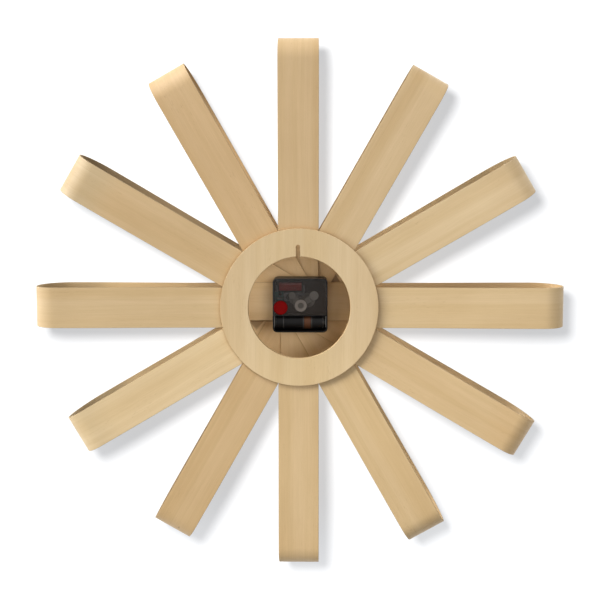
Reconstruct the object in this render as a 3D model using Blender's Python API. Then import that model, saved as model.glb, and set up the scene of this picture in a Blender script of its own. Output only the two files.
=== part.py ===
# Wooden wall clock made of bent veneer loops, with its quartz movement.
#
# Frame: metres, +Z up.  The wall plane is Y = 0, the front with the hands
# faces -Y, and the rear ring with the hanging slot faces +Y.  The origin is
# the centre of the round end of the hanging slot, where the nail carries
# the clock.  +X is to the right of somebody who reads the clock.
#
# Lengths below are in millimetres and are turned into metres by MM.

import bpy
import bmesh
import math
from mathutils import Matrix, Vector

for old in list(bpy.data.objects):
    bpy.data.objects.remove(old, do_unlink=True)

MM = 0.001
GAP = 0.3                     # clearance between pieces that touch

# ---------------------------------------------------------------- dimensions
# plywood ring at the back
RING_OUTER_R = 77.6
RING_HOLE_R = 50.2
RING_T = 3.0
SLOT_W = 4.0                  # hanging slot, open into the ring's hole
SLOT_END_R = 59.65            # slot's round end, from the ring's centre
SLOT_TURN = math.radians(1.15)  # the ring is glued on slightly turned

# clock axis in the row frame, from the nail at the origin
RING_X, RING_Z = 0.45, 1.2      # the ring's centre, just off the clock axis
AXIS_X = -SLOT_END_R * math.sin(SLOT_TURN) - RING_X
AXIS_Z = -SLOT_END_R * math.cos(SLOT_TURN) - RING_Z

# bent veneer ribbons: six strips, each making two opposite loops
STRIP_W = 40.0
STRIP_T = 1.2
STRIP_PITCH = 1.45            # depth step between the stacked strips
NEAR_Y = -(RING_T + GAP)      # rear face of the returning ends
LOOP_SPACE = 32.0             # from that plane to the first front layer
FRONT_Y = NEAR_Y - LOOP_SPACE  # rear face of the first front layer
TIP_R = 267.0                 # outer radius of the loops
BULGE_NEAR = 2.9
BULGE_FAR = 3.4
BEND_LEN = 25.0               # radial length of the bend at the tip
END_R = 64.5                  # inner ends of the strips, under the ring
STAR_X, STAR_Z = 1.25, 0.55   # where the strips cross, just off the clock axis
ARBOR_HOLE_R = 4.4
HALF_SPACING = math.radians(14.77)  # half the smallest angle between neighbours

# quartz movement
CASE_HW = 27.9
CASE_HH = 27.7
CASE_R = 4.5
CASE_WALL = 1.2
CASE_FRONT_Y = -33.7
CASE_FLOOR_Y = -32.7
CASE_RIM_Y = -21.2
CASE_REAR_Y = -17.7
COVER_FLOOR_Y = -18.7
PARTITION_TOP = -10.4         # wall between the gears and the battery bay
PARTITION_BOTTOM = -11.2
BUSH_R = 3.8
BUSH_BORE_R = 2.8
BUSH_END_Y = -49.2

KNOB_X, KNOB_Z, KNOB_R = 19.9, -2.5, 7.1

BATTERY_R = 7.0
BATTERY_Y = -25.4
BATTERY_Z = -18.5
BATTERY_MINUS_X = 25.4
BATTERY_PLUS_X = -23.9

# gear train: module, teeth and centre distances
ADDENDUM, DEDENDUM = 0.75, 1.15
M_ROTOR, N_ROTOR, N_INTER = 0.22, 8, 48
M_SECOND, N_INTER_PINION, N_SECOND = 0.24, 12, 60
D_THIRD = 8.64
N_SECOND_PINION, N_THIRD, N_THIRD_PINION, N_CENTRE = 8, 60, 8, 64
M_THIRD = 2 * D_THIRD / (N_SECOND_PINION + N_THIRD)
M_CENTRE = 2 * D_THIRD / (N_THIRD_PINION + N_CENTRE)
M_MINUTE, N_CANNON, N_REVERSER, N_SETTING = 0.34, 12, 36, 34
D_REVERSER = M_MINUTE * (N_CANNON + N_REVERSER) / 2
N_REV_PINION, N_HOUR = 10, 40
M_HOUR = 2 * D_REVERSER / (N_REV_PINION + N_HOUR)

ANG_KNOB = math.atan2(KNOB_Z, KNOB_X)
ANG_INTER = math.radians(45)
ANG_ROTOR = math.radians(15)
ANG_THIRD = math.radians(152)
D_INTER = M_SECOND * (N_INTER_PINION + N_SECOND) / 2
D_ROTOR = M_ROTOR * (N_ROTOR + N_INTER) / 2
INTER = (D_INTER * math.cos(ANG_INTER), D_INTER * math.sin(ANG_INTER))
ROTOR = (INTER[0] + D_ROTOR * math.cos(ANG_ROTOR),
         INTER[1] + D_ROTOR * math.sin(ANG_ROTOR))
THIRD = (D_THIRD * math.cos(ANG_THIRD), D_THIRD * math.sin(ANG_THIRD))
REVERSER = (D_REVERSER * math.cos(ANG_KNOB), D_REVERSER * math.sin(ANG_KNOB))
SETTING = (REVERSER[0] + M_MINUTE * (N_REVERSER + N_SETTING) / 2 * math.cos(ANG_KNOB),
           REVERSER[1] + M_MINUTE * (N_REVERSER + N_SETTING) / 2 * math.sin(ANG_KNOB))

# coil
COIL_Y, COIL_Z = -23.9, 18.6
COIL_X0, COIL_X1 = -2.8, 22.8
COIL_R = 4.2

# hands, shown at ten minutes past ten
HOUR_ANGLE = math.radians(305)
MINUTE_ANGLE = math.radians(60)
HOUR_LEN, MINUTE_LEN = 100.0, 150.0


# ------------------------------------------------------------------- helpers
def new_object(name, bm, origin=(0.0, 0.0, 0.0), on_axis=True):
    """Turn a bmesh in millimetres into an object whose origin is `origin`.

    Coordinates are measured from the clock axis when on_axis is true."""
    ox, oy, oz = origin
    bmesh.ops.remove_doubles(bm, verts=bm.verts, dist=1e-5)
    bmesh.ops.recalc_face_normals(bm, faces=bm.faces)
    for v in bm.verts:
        v.co = Vector(((v.co.x - ox) * MM, (v.co.y - oy) * MM, (v.co.z - oz) * MM))
    mesh = bpy.data.meshes.new(name)
    bm.to_mesh(mesh)
    bm.free()
    obj = bpy.data.objects.new(name, mesh)
    bpy.context.scene.collection.objects.link(obj)
    shift = Vector((AXIS_X, 0.0, AXIS_Z)) if on_axis else Vector((0, 0, 0))
    obj.location = (Vector((ox, oy, oz)) + shift) * MM
    return obj


def prism(outline, y0, y1, holes=()):
    """Plate with the given XZ outline and holes, between two depths."""
    bm = bmesh.new()
    edges = []
    for loop in (outline,) + tuple(holes):
        ring = [bm.verts.new((x, y0, z)) for x, z in loop]
        edges += [bm.edges.new((ring[i], ring[(i + 1) % len(ring)]))
                  for i in range(len(ring))]
    if holes:
        bmesh.ops.triangle_fill(bm, edges=edges, use_beauty=True)
    else:
        bm.faces.new([e.verts[0] for e in edges])
    for face in bm.faces:
        face.normal_update()
    out = bmesh.ops.extrude_face_region(bm, geom=bm.faces[:])
    top = [g for g in out["geom"] if isinstance(g, bmesh.types.BMVert)]
    bmesh.ops.translate(bm, verts=top, vec=(0, y1 - y0, 0))
    bmesh.ops.recalc_face_normals(bm, faces=bm.faces)
    return bm


def circle(cx, cz, r, n=24, start=0.0):
    return [(cx + r * math.cos(start + 2 * math.pi * i / n),
             cz + r * math.sin(start + 2 * math.pi * i / n)) for i in range(n)]


def rounded_rect(x0, x1, z0, z1, radii, n=6):
    """Rectangle with one radius for each corner: x1z1, x0z1, x0z0, x1z0."""
    out = []
    corners = ((x1, z1, -1, -1, 0), (x0, z1, 1, -1, 90),
               (x0, z0, 1, 1, 180), (x1, z0, -1, 1, 270))
    for (x, z, sx, sz, a0), r in zip(corners, radii):
        if r <= 0:
            out.append((x, z))
            continue
        for i in range(n + 1):
            a = math.radians(a0 + 90 * i / n)
            out.append((x + sx * r + r * math.cos(a), z + sz * r + r * math.sin(a)))
    return out


def gear_outline(cx, cz, module, teeth, tooth_at):
    """Wheel outline with one tooth centred on the direction tooth_at."""
    r = module * teeth / 2
    tip, root = r + ADDENDUM * module, r - DEDENDUM * module
    out = []
    for i in range(teeth):
        a = tooth_at + 2 * math.pi * i / teeth
        out.append((cx + tip * math.cos(a), cz + tip * math.sin(a)))
        b = a + math.pi / teeth
        out.append((cx + root * math.cos(b), cz + root * math.sin(b)))
    return out


def box(x0, x1, y0, y1, z0, z1):
    return prism([(x0, z0), (x1, z0), (x1, z1), (x0, z1)], y0, y1)


def disc(cx, cz, r, y0, y1, n=24):
    return prism(circle(cx, cz, r, n), y0, y1)


def turned(cx, cz, profile, n=24):
    """Closed profile of (radius, y) points spun about the axis at cx, cz."""
    bm = bmesh.new()
    ring = [bm.verts.new((cx + r, y, cz)) for r, y in profile]
    edges = [bm.edges.new((ring[i], ring[(i + 1) % len(ring)]))
             for i in range(len(ring))]
    bmesh.ops.spin(bm, geom=ring + edges, cent=(cx, 0, cz), axis=(0, 1, 0),
                   angle=2 * math.pi, steps=n, use_merge=True)
    bmesh.ops.remove_doubles(bm, verts=bm.verts, dist=1e-5)
    # an edge of the profile that lies on the axis leaves loose geometry
    loose = [e for e in bm.edges if not e.link_faces]
    bmesh.ops.delete(bm, geom=loose, context="EDGES")
    bmesh.ops.dissolve_degenerate(bm, edges=bm.edges, dist=1e-6)
    bmesh.ops.recalc_face_normals(bm, faces=bm.faces)
    return bm


def combine(name, base, steps, origin=(0.0, 0.0, 0.0), on_axis=True):
    """Base shape with further shapes added ('+') or cut away ('-')."""
    obj = new_object(name, base, origin, on_axis)
    tools = []
    for i, (sign, shape) in enumerate(steps):
        tool = new_object("%s_tool_%d" % (name, i), shape, (0, 0, 0), on_axis)
        tool.hide_render = True
        tool.display_type = "WIRE"
        tools.append(tool)
        mod = obj.modifiers.new("step_%d" % i, "BOOLEAN")
        mod.operation = "UNION" if sign == "+" else "DIFFERENCE"
        mod.solver = "EXACT"
        mod.object = tool
    bpy.context.view_layer.update()
    depsgraph = bpy.context.evaluated_depsgraph_get()
    mesh = bpy.data.meshes.new_from_object(obj.evaluated_get(depsgraph))
    old = obj.data
    obj.modifiers.clear()
    obj.data = mesh
    mesh.name = name
    bpy.data.meshes.remove(old)
    for tool in tools:
        data = tool.data
        bpy.data.objects.remove(tool, do_unlink=True)
        bpy.data.meshes.remove(data)
    bm = bmesh.new()
    bm.from_mesh(mesh)
    bmesh.ops.remove_doubles(bm, verts=bm.verts, dist=1e-7)
    bmesh.ops.dissolve_degenerate(bm, edges=bm.edges, dist=1e-7)
    bm.to_mesh(mesh)
    bm.free()
    return obj


def material(obj, name, colour, rough=0.5, metal=0.0, alpha=1.0):
    mat = bpy.data.materials.get(name)
    if mat is None:
        mat = bpy.data.materials.new(name)
        mat.use_nodes = True
        bsdf = mat.node_tree.nodes["Principled BSDF"]
        bsdf.inputs["Base Color"].default_value = (*colour, 1.0)
        bsdf.inputs["Roughness"].default_value = rough
        bsdf.inputs["Metallic"].default_value = metal
        bsdf.inputs["Alpha"].default_value = alpha
        mat.diffuse_color = (*colour, 1.0)
    obj.data.materials.clear()
    obj.data.materials.append(mat)


def smooth(obj, angle=30):
    obj.data.shade_smooth()
    obj.data.set_sharp_from_angle(angle=math.radians(angle))


WOOD = (0.62, 0.44, 0.24)
PLY = (0.60, 0.45, 0.27)


# ------------------------------------------------------------ ring at the back
def slot_outline(n=8):
    """Parallel-sided slot with a round end, running in past the hole's edge."""
    half = SLOT_W / 2
    ux, uz = math.sin(SLOT_TURN), math.cos(SLOT_TURN)
    px, pz = uz, -ux
    pts = []
    for i in range(n + 1):
        a = math.pi * i / n
        r = SLOT_END_R + half * math.sin(a)
        s = half * math.cos(a)
        pts.append((RING_X + r * ux + s * px, RING_Z + r * uz + s * pz))
    inner = RING_HOLE_R - 3.0
    for s in (-half, half):
        pts.append((RING_X + inner * ux + s * px, RING_Z + inner * uz + s * pz))
    return pts


ring = combine(
    "back_ring",
    prism(circle(RING_X, RING_Z, RING_OUTER_R, 96), -RING_T, 0.0,
          [circle(RING_X, RING_Z, RING_HOLE_R, 64)]),
    [("-", prism(slot_outline(), -RING_T - 1, 1.0))])
material(ring, "ply_ring", PLY, 0.55)
smooth(ring)


# -------------------------------------------------------- bent veneer ribbons
def loop_path(order, tip_r, n_flat=6, n_bend=10):
    """Centre line of half a ribbon, from its end under the ring, round the
    tip and back along the front to the clock axis, as (radius, y)."""
    near0 = NEAR_Y - STRIP_T / 2
    far0 = FRONT_Y - STRIP_T / 2 - order * STRIP_PITCH
    near1, far1 = near0 + BULGE_NEAR, far0 - BULGE_FAR
    mid, half = (near1 + far1) / 2, (near1 - far1) / 2
    tip = tip_r - STRIP_T / 2
    bend = tip - BEND_LEN
    r_free = RING_OUTER_R + 2.0

    def swell(r):
        u = min(max((r - r_free) / (bend - r_free), 0.0), 1.0)
        return math.sin(math.pi / 2 * u) ** 2

    wide_r = (STRIP_W / 2 + 0.2) / math.tan(HALF_SPACING)
    pts = [(END_R, near0), (wide_r, near0), (r_free, near0)]
    for i in range(1, n_flat + 1):
        r = r_free + (bend - r_free) * i / n_flat
        pts.append((r, near0 + BULGE_NEAR * swell(r)))
    for i in range(1, n_bend):
        a = math.pi / 2 - math.pi * i / n_bend
        pts.append((bend + BEND_LEN * math.cos(a), mid + half * math.sin(a)))
    for i in range(n_flat, 0, -1):
        r = r_free + (bend - r_free) * i / n_flat
        pts.append((r, far0 - BULGE_FAR * swell(r)))
    pts.append((r_free, far0))
    return pts


def ribbon(name, angle, order, tip_r):
    """One full strip: two opposite loops along the direction `angle`,
    measured clockwise from 12 as the clock is read."""
    half_path = loop_path(order, tip_r)
    path = [(r, y) for r, y in half_path] + [(-r, y) for r, y in reversed(half_path)]
    widths = []
    for r, y in path:
        w = STRIP_W / 2
        if abs(r) < RING_OUTER_R and y > FRONT_Y + 5:
            w = min(w, abs(r) * math.tan(HALF_SPACING) - 0.2)
        widths.append(w)
    dx, dz = math.sin(angle), math.cos(angle)
    px, pz = dz, -dx
    bm = bmesh.new()
    stations = []
    for i, (r, y) in enumerate(path):
        a = path[max(i - 1, 0)]
        b = path[min(i + 1, len(path) - 1)]
        t0 = Vector((r - a[0], y - a[1]))
        t1 = Vector((b[0] - r, b[1] - y))
        if t0.length < 1e-9:
            t0 = t1
        if t1.length < 1e-9:
            t1 = t0
        t = (t0.normalized() + t1.normalized()).normalized()
        n = Vector((-t.y, t.x))
        k = STRIP_T / 2 / max(n.dot(Vector((-t1.normalized().y, t1.normalized().x))), 0.5)
        quad = []
        for side, off in ((1, 1), (1, -1), (-1, -1), (-1, 1)):
            rr, yy = r + n.x * off * k, y + n.y * off * k
            w = widths[i] * side
            quad.append(bm.verts.new((rr * dx + w * px + STAR_X, yy, rr * dz + w * pz + STAR_Z)))
        stations.append(quad)
    for q0, q1 in zip(stations, stations[1:]):
        for j in range(4):
            bm.faces.new((q0[j], q0[(j + 1) % 4], q1[(j + 1) % 4], q1[j]))
    bm.faces.new(stations[0])
    bm.faces.new(tuple(reversed(stations[-1])))
    far0 = FRONT_Y - STRIP_T / 2 - order * STRIP_PITCH
    obj = combine(name, bm, [("-", disc(0, 0, ARBOR_HOLE_R, far0 - 3, far0 + 3, 24))])
    material(obj, "veneer", WOOD, 0.5)
    smooth(obj, 35)


# the strip nearest the wall first; the strips are glued by hand, so their
# directions are off the hours by a fraction of a degree
ribbon("ribbon_9_3", math.radians(90), 0, TIP_R - 0.3)
ribbon("ribbon_8_2", math.radians(59.56), 1, TIP_R)
ribbon("ribbon_7_1", math.radians(29.54), 2, TIP_R + 0.8)
ribbon("ribbon_6_12", math.radians(0), 3, TIP_R + 0.5)
ribbon("ribbon_5_11", math.radians(150.33), 4, TIP_R - 0.8)
ribbon("ribbon_4_10", math.radians(120.40), 5, TIP_R - 3.0)


# ------------------------------------------------------------- movement: case
def case_outline(grow=0.0):
    return rounded_rect(-CASE_HW - grow, CASE_HW + grow, -CASE_HH - grow, CASE_HH + grow,
                        [CASE_R + grow] * 4)


IN_X = CASE_HW - CASE_WALL
IN_Z = CASE_HH - CASE_WALL
R_IN = CASE_R - CASE_WALL
POSTS = ((-22.0, 9.0), (-22.0, -7.0), (23.5, 9.5))

case_steps = [
    ("-", prism(rounded_rect(-IN_X, IN_X, PARTITION_TOP, IN_Z, (R_IN, R_IN, 0, 0)),
                CASE_FLOOR_Y, -15)),
    ("-", prism(rounded_rect(-IN_X, IN_X, -CASE_HH + 1.1, PARTITION_BOTTOM, (0, 0, R_IN, R_IN)),
                CASE_FLOOR_Y, -15)),
    ("-", box(-40, 40, CASE_RIM_Y, -14, PARTITION_TOP, 40)),
    ("-", box(-40, 40, COVER_FLOOR_Y - GAP, -14, PARTITION_BOTTOM, PARTITION_TOP + 0.5)),
    ("-", box(-IN_X, -25.7, -31.7, -29.1, PARTITION_BOTTOM - 0.1, PARTITION_TOP + 0.1)),
    ("-", box(25.7, IN_X, -28.7, -26.1, PARTITION_BOTTOM - 0.1, PARTITION_TOP + 0.1)),
    ("+", disc(0, 0, BUSH_R, BUSH_END_Y, CASE_FRONT_Y + 0.5, 32)),
    ("-", disc(0, 0, BUSH_BORE_R, BUSH_END_Y - 1, CASE_FLOOR_Y + 1, 24)),
    ("+", disc(REVERSER[0], REVERSER[1], 0.7, CASE_FLOOR_Y - 0.5, -29.0, 12)),
    ("+", prism(circle(SETTING[0], SETTING[1], 2.2, 20), CASE_FLOOR_Y - 0.5, -31.2,
                [circle(SETTING[0], SETTING[1], 1.2, 16)])),
]
for px_, pz_ in POSTS:
    case_steps.append(("+", disc(px_, pz_, 1.4, CASE_FLOOR_Y - 0.5, -28.9, 12)))
case = combine("movement_case", prism(case_outline(), CASE_FRONT_Y, CASE_REAR_Y), case_steps)
material(case, "case_black", (0.012, 0.012, 0.013), 0.4)
smooth(case)

# ------------------------------------------------- movement: translucent cover
cover_steps = [
    ("-", prism(rounded_rect(-IN_X, IN_X, -30, IN_Z, (R_IN, R_IN, 0, 0)), -25, COVER_FLOOR_Y)),
    ("-", disc(SETTING[0], SETTING[1], KNOB_R + 0.3, -22, -15, 32)),
    ("+", disc(0, 0, 3.0, -20.0, COVER_FLOOR_Y + 0.4, 24)),
    ("-", disc(0, 0, 0.75, -21.0, -19.0, 12)),
]
for cx_, cz_ in (INTER, ROTOR, THIRD):
    cover_steps.append(("+", disc(cx_, cz_, 1.3, -19.6, COVER_FLOOR_Y + 0.4, 16)))
    cover_steps.append(("-", disc(cx_, cz_, 0.75, -20.0, -18.9, 12)))
cover = combine("back_cover",
                prism(rounded_rect(-CASE_HW, CASE_HW, PARTITION_TOP + GAP, CASE_HH,
                                   (CASE_R, CASE_R, 0, 0)), CASE_RIM_Y + GAP, CASE_REAR_Y),
                cover_steps)
material(cover, "cover_smoke", (0.03, 0.027, 0.025), 0.2, 0.0, 0.6)
smooth(cover)

# ------------------------------------------------------ movement: middle plate
PLATE_Y0, PLATE_Y1 = -28.6, -27.8
plate_holes = [circle(0, 0, 1.9, 16), circle(THIRD[0], THIRD[1], 0.75, 10),
               circle(INTER[0], INTER[1], 0.75, 10), circle(ROTOR[0], ROTOR[1], 0.75, 10),
               circle(SETTING[0], SETTING[1], 2.3, 16)]
plate = new_object("middle_plate",
                   prism(rounded_rect(-25.7, 25.7, -10.0, 12.6, (1, 1, 1, 1), 2),
                         PLATE_Y0, PLATE_Y1, plate_holes))
material(plate, "plate_grey", (0.30, 0.29, 0.27), 0.5)
smooth(plate)

# --------------------------------------------------------------- gear train
PIVOT_R = 0.4


def tooth_dir(angle, teeth, gap=False):
    """Phase that puts a tooth, or a gap, on the given direction."""
    return angle + (math.pi / teeth if gap else 0.0)


# rotor: ring magnet, pinion and its two pivots
rotor = combine(
    "rotor", disc(ROTOR[0], ROTOR[1], 2.5, -25.2, -22.6, 20),
    [("+", disc(ROTOR[0], ROTOR[1], PIVOT_R, -28.3, -19.2, 8)),
     ("+", prism(gear_outline(ROTOR[0], ROTOR[1], M_ROTOR, N_ROTOR,
                              tooth_dir(ANG_ROTOR + math.pi, N_ROTOR)), -22.8, -20.0))],
    (ROTOR[0], 0, ROTOR[1]))
material(rotor, "rotor_dark", (0.05, 0.05, 0.055), 0.4, 0.3)

# intermediate wheel with the pinion that drives the second wheel
inter = combine(
    "intermediate_wheel",
    prism(gear_outline(INTER[0], INTER[1], M_ROTOR, N_INTER,
                       tooth_dir(ANG_ROTOR, N_INTER, True)), -20.9, -20.2),
    [("+", prism(gear_outline(INTER[0], INTER[1], M_SECOND, N_INTER_PINION,
                              tooth_dir(ANG_INTER + math.pi, N_INTER_PINION)), -23.1, -20.6)),
     ("+", disc(INTER[0], INTER[1], PIVOT_R, -28.3, -19.2, 8))],
    (INTER[0], 0, INTER[1]))
material(inter, "wheel_white", (0.62, 0.60, 0.56), 0.45)

# second wheel on the clock axis, pivoted in the cover and in the minute arbor
second = combine(
    "second_wheel",
    prism(gear_outline(0, 0, M_SECOND, N_SECOND, tooth_dir(ANG_INTER, N_SECOND, True)),
          -22.9, -22.2),
    [("+", prism(gear_outline(0, 0, M_THIRD, N_SECOND_PINION,
                              tooth_dir(ANG_THIRD, N_SECOND_PINION)), -25.8, -22.5)),
     ("+", disc(0, 0, PIVOT_R, -27.6, -19.3, 8))])
material(second, "wheel_white", (0.62, 0.60, 0.56), 0.45)

# third wheel
third = combine(
    "third_wheel",
    prism(gear_outline(THIRD[0], THIRD[1], M_THIRD, N_THIRD,
                       tooth_dir(ANG_THIRD + math.pi, N_THIRD, True)), -25.5, -24.8),
    [("+", prism(gear_outline(THIRD[0], THIRD[1], M_CENTRE, N_THIRD_PINION,
                              tooth_dir(ANG_THIRD + math.pi, N_THIRD_PINION)), -27.5, -25.1)),
     ("+", disc(THIRD[0], THIRD[1], PIVOT_R, -28.3, -19.2, 8))],
    (THIRD[0], 0, THIRD[1]))
material(third, "wheel_white", (0.62, 0.60, 0.56), 0.45)

# centre wheel: turns once an hour and grips the minute arbor by friction
centre = new_object(
    "centre_wheel",
    prism(gear_outline(0, 0, M_CENTRE, N_CENTRE, tooth_dir(ANG_THIRD, N_CENTRE, True)),
          -27.5, -26.8, [circle(0, 0, 1.8, 16)]))
material(centre, "wheel_white", (0.62, 0.60, 0.56), 0.45)

# minute arbor with the cannon pinion; blind bore at the rear for the second arbor
ARBOR_R = 1.5
arbor = combine(
    "minute_arbor", disc(0, 0, ARBOR_R, -57.0, -26.4, 20),
    [("-", disc(0, 0, 0.75, -28.4, -26.0, 10)),
     ("+", prism(gear_outline(0, 0, M_MINUTE, N_CANNON, tooth_dir(ANG_KNOB, N_CANNON)),
                 -30.5, -29.3))])
material(arbor, "arbor_steel", (0.55, 0.55, 0.56), 0.3, 1.0)
smooth(arbor)

# reverser wheel: wheel driven by the cannon pinion, pinion drives the hour wheel
reverser = combine(
    "reverser_wheel",
    prism(gear_outline(REVERSER[0], REVERSER[1], M_MINUTE, N_REVERSER,
                       tooth_dir(ANG_KNOB, N_REVERSER, True)), -30.3, -29.5),
    [("+", prism(gear_outline(REVERSER[0], REVERSER[1], M_HOUR, N_REV_PINION,
                              tooth_dir(ANG_KNOB + math.pi, N_REV_PINION)), -32.3, -30.0)),
     ("-", disc(REVERSER[0], REVERSER[1], 1.0, -34, -28, 12))],
    (REVERSER[0], 0, REVERSER[1]))
material(reverser, "wheel_black", (0.03, 0.03, 0.03), 0.45)

# hour wheel with the pipe that carries the hour hand
hour = combine(
    "hour_wheel",
    prism(gear_outline(0, 0, M_HOUR, N_HOUR, tooth_dir(ANG_KNOB, N_HOUR, True)),
          -32.3, -31.3),
    [("+", disc(0, 0, 2.5, -52.2, -31.6, 24)),
     ("-", disc(0, 0, 1.8, -53, -30, 20))])
material(hour, "wheel_white", (0.62, 0.60, 0.56), 0.45)
smooth(hour)

# setting knob: cap in the cover's hole, shaft, and gear on the reverser wheel
knob = combine(
    "setting_knob",
    turned(SETTING[0], SETTING[1],
           [(0, -31.9), (0.8, -31.9), (0.8, -30.9), (1.9, -30.9), (1.9, -19.4),
            (KNOB_R, -19.4), (KNOB_R, -17.8), (KNOB_R - 0.5, -17.3), (0, -17.3)], 28),
    [("+", prism(gear_outline(SETTING[0], SETTING[1], M_MINUTE, N_SETTING,
                              tooth_dir(ANG_KNOB + math.pi, N_SETTING)), -30.3, -29.5))],
    (SETTING[0], 0, SETTING[1]))
material(knob, "knob_red", (0.35, 0.012, 0.012), 0.4)
smooth(knob)

# ---------------------------------------------------------- coil and stator
CORE_HZ, CORE_Y0, CORE_Y1 = 1.1, -24.3, -23.5


def along_x(x0, x1, outline):
    """Prism of a (y, z) outline from x0 to x1."""
    bm = prism([(y, z) for y, z in outline], 0.0, x1 - x0)
    for v in bm.verts:
        v.co = Vector((x0 + v.co.y, v.co.x, v.co.z))
    bmesh.ops.recalc_face_normals(bm, faces=bm.faces)
    return bm


def yz_circle(r, n=24):
    return circle(COIL_Y, COIL_Z, r, n)


bobbin = combine(
    "coil_bobbin", along_x(COIL_X0, COIL_X1, yz_circle(2.1, 20)),
    [("+", along_x(COIL_X0, COIL_X0 + 1.0, yz_circle(COIL_R + 0.4, 24))),
     ("+", along_x(COIL_X1 - 1.0, COIL_X1, yz_circle(COIL_R + 0.4, 24))),
     ("-", along_x(COIL_X0 - 1, COIL_X1 + 1,
                   [(CORE_Y0 - GAP, COIL_Z - CORE_HZ - GAP), (CORE_Y1 + GAP, COIL_Z - CORE_HZ - GAP),
                    (CORE_Y1 + GAP, COIL_Z + CORE_HZ + GAP), (CORE_Y0 - GAP, COIL_Z + CORE_HZ + GAP)]))])
material(bobbin, "bobbin", (0.16, 0.15, 0.14), 0.5)
smooth(bobbin)

winding = combine(
    "coil_winding", along_x(COIL_X0 + 1.3, COIL_X1 - 1.3, yz_circle(COIL_R, 28)),
    [("-", along_x(COIL_X0, COIL_X1, yz_circle(2.4, 20)))])
material(winding, "copper_wire", (0.42, 0.09, 0.07), 0.35, 0.3)
smooth(winding)

core = new_object("coil_core",
                  box(COIL_X0 - 1.9, COIL_X1 + 1.9, CORE_Y0, CORE_Y1,
                      COIL_Z - CORE_HZ, COIL_Z + CORE_HZ))
material(core, "core_steel", (0.35, 0.35, 0.36), 0.4, 1.0)

ARM_L, ARM_R = COIL_X0 - 1.9, COIL_X1 + 1.9
STATOR_TOP = COIL_Z - CORE_HZ - GAP
stator_outline = [
    (ARM_L, STATOR_TOP), (ARM_L, ROTOR[1] + 2.8), (ARM_L + 1.5, ROTOR[1] + 1.4),
    (ROTOR[0] - 4.4, ROTOR[1] + 1.4), (ROTOR[0] - 4.4, ROTOR[1] - 3.2),
    (ROTOR[0] - 3.2, ROTOR[1] - 4.4), (ROTOR[0] + 3.2, ROTOR[1] - 4.4),
    (ROTOR[0] + 4.4, ROTOR[1] - 3.2), (ROTOR[0] + 4.4, ROTOR[1] + 1.4),
    (ARM_R - 1.5, ROTOR[1] + 1.4), (ARM_R, ROTOR[1] + 2.8), (ARM_R, STATOR_TOP),
    (ARM_R - 1.6, STATOR_TOP), (ARM_R - 1.6, ROTOR[1] + 4.4),
    (ARM_L + 1.6, ROTOR[1] + 4.4), (ARM_L + 1.6, STATOR_TOP)]
stator = new_object("stator", prism(stator_outline, CORE_Y0, CORE_Y1,
                                    [circle(ROTOR[0], ROTOR[1], 3.1, 24)]))
material(stator, "core_steel", (0.35, 0.35, 0.36), 0.4, 1.0)

# ------------------------------------------------------------ circuit board
BOARD_Y0, BOARD_Y1 = -22.2, -21.4
board = new_object("circuit_board",
                   prism(rounded_rect(17.2, 26.3, 4.9, 13.4, (0.4, 0.4, 0.4, 0.4), 1),
                         BOARD_Y0, BOARD_Y1))
material(board, "board_green", (0.02, 0.14, 0.11), 0.4)

chip = new_object("ic_chip", turned(20.4, 11.0, [
    (0, BOARD_Y1 + GAP), (1.7, BOARD_Y1 + GAP), (1.6, BOARD_Y1 + 0.7),
    (1.1, BOARD_Y1 + 1.1), (0, BOARD_Y1 + 1.25)], 16))
material(chip, "ic_black", (0.01, 0.01, 0.01), 0.25)
smooth(chip)

crystal_bm = along_x(18.0, 24.2, circle(BOARD_Y1 + 1.3, 7.0, 0.95, 16))
crystal = new_object("quartz_crystal", crystal_bm)
material(crystal, "can_metal", (0.65, 0.64, 0.62), 0.25, 1.0)
smooth(crystal)

# ------------------------------------------------------------------ battery
bat_profile = [(0, BATTERY_MINUS_X), (BATTERY_R - 0.5, BATTERY_MINUS_X),
               (BATTERY_R, BATTERY_MINUS_X - 0.5), (BATTERY_R, BATTERY_PLUS_X + 0.6),
               (BATTERY_R - 0.6, BATTERY_PLUS_X), (2.8, BATTERY_PLUS_X),
               (2.8, BATTERY_PLUS_X - 1.1), (2.4, BATTERY_PLUS_X - 1.5),
               (0, BATTERY_PLUS_X - 1.5)]
bat_bm = turned(0, 0, bat_profile, 28)
for v in bat_bm.verts:
    v.co = Vector((v.co.y, BATTERY_Y + v.co.x, BATTERY_Z + v.co.z))
battery = new_object("battery", bat_bm, (0, BATTERY_Y, BATTERY_Z))
material(battery, "battery_black", (0.015, 0.015, 0.016), 0.35)
smooth(battery)

# contacts: a leaf at each end of the bay and a strip that leads to the board
def band(points, thick):
    """Outline of a bent strip that follows a line of XZ points."""
    left, right = [], []
    for i, p in enumerate(points):
        a = Vector(points[max(i - 1, 0)])
        b = Vector(points[min(i + 1, len(points) - 1)])
        c = Vector(p)
        t0 = (c - a) if (c - a).length > 0 else (b - c)
        t1 = (b - c) if (b - c).length > 0 else (c - a)
        n1 = Vector((-t1.y, t1.x)).normalized()
        n = (Vector((-t0.y, t0.x)).normalized() + n1).normalized()
        k = thick / 2 / n.dot(n1)
        left.append(tuple(c + n * k))
        right.append(tuple(c - n * k))
    return left + right[::-1]


pos = combine(
    "contact_positive", box(-26.4, -26.0, -31.5, -19.6, -23.0, -11.6),
    [("+", prism(band([(-26.2, -12.5), (-26.2, 21.6), (-22.6, 25.2), (22.6, 25.2),
                       (26.2, 21.6), (26.2, 11.8)], 0.4), -31.4, -29.4)),
     ("+", box(26.02, 26.38, -31.3, -22.5, 12.0, 13.1))])
material(pos, "contact_nickel", (0.6, 0.58, 0.55), 0.3, 1.0)

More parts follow.
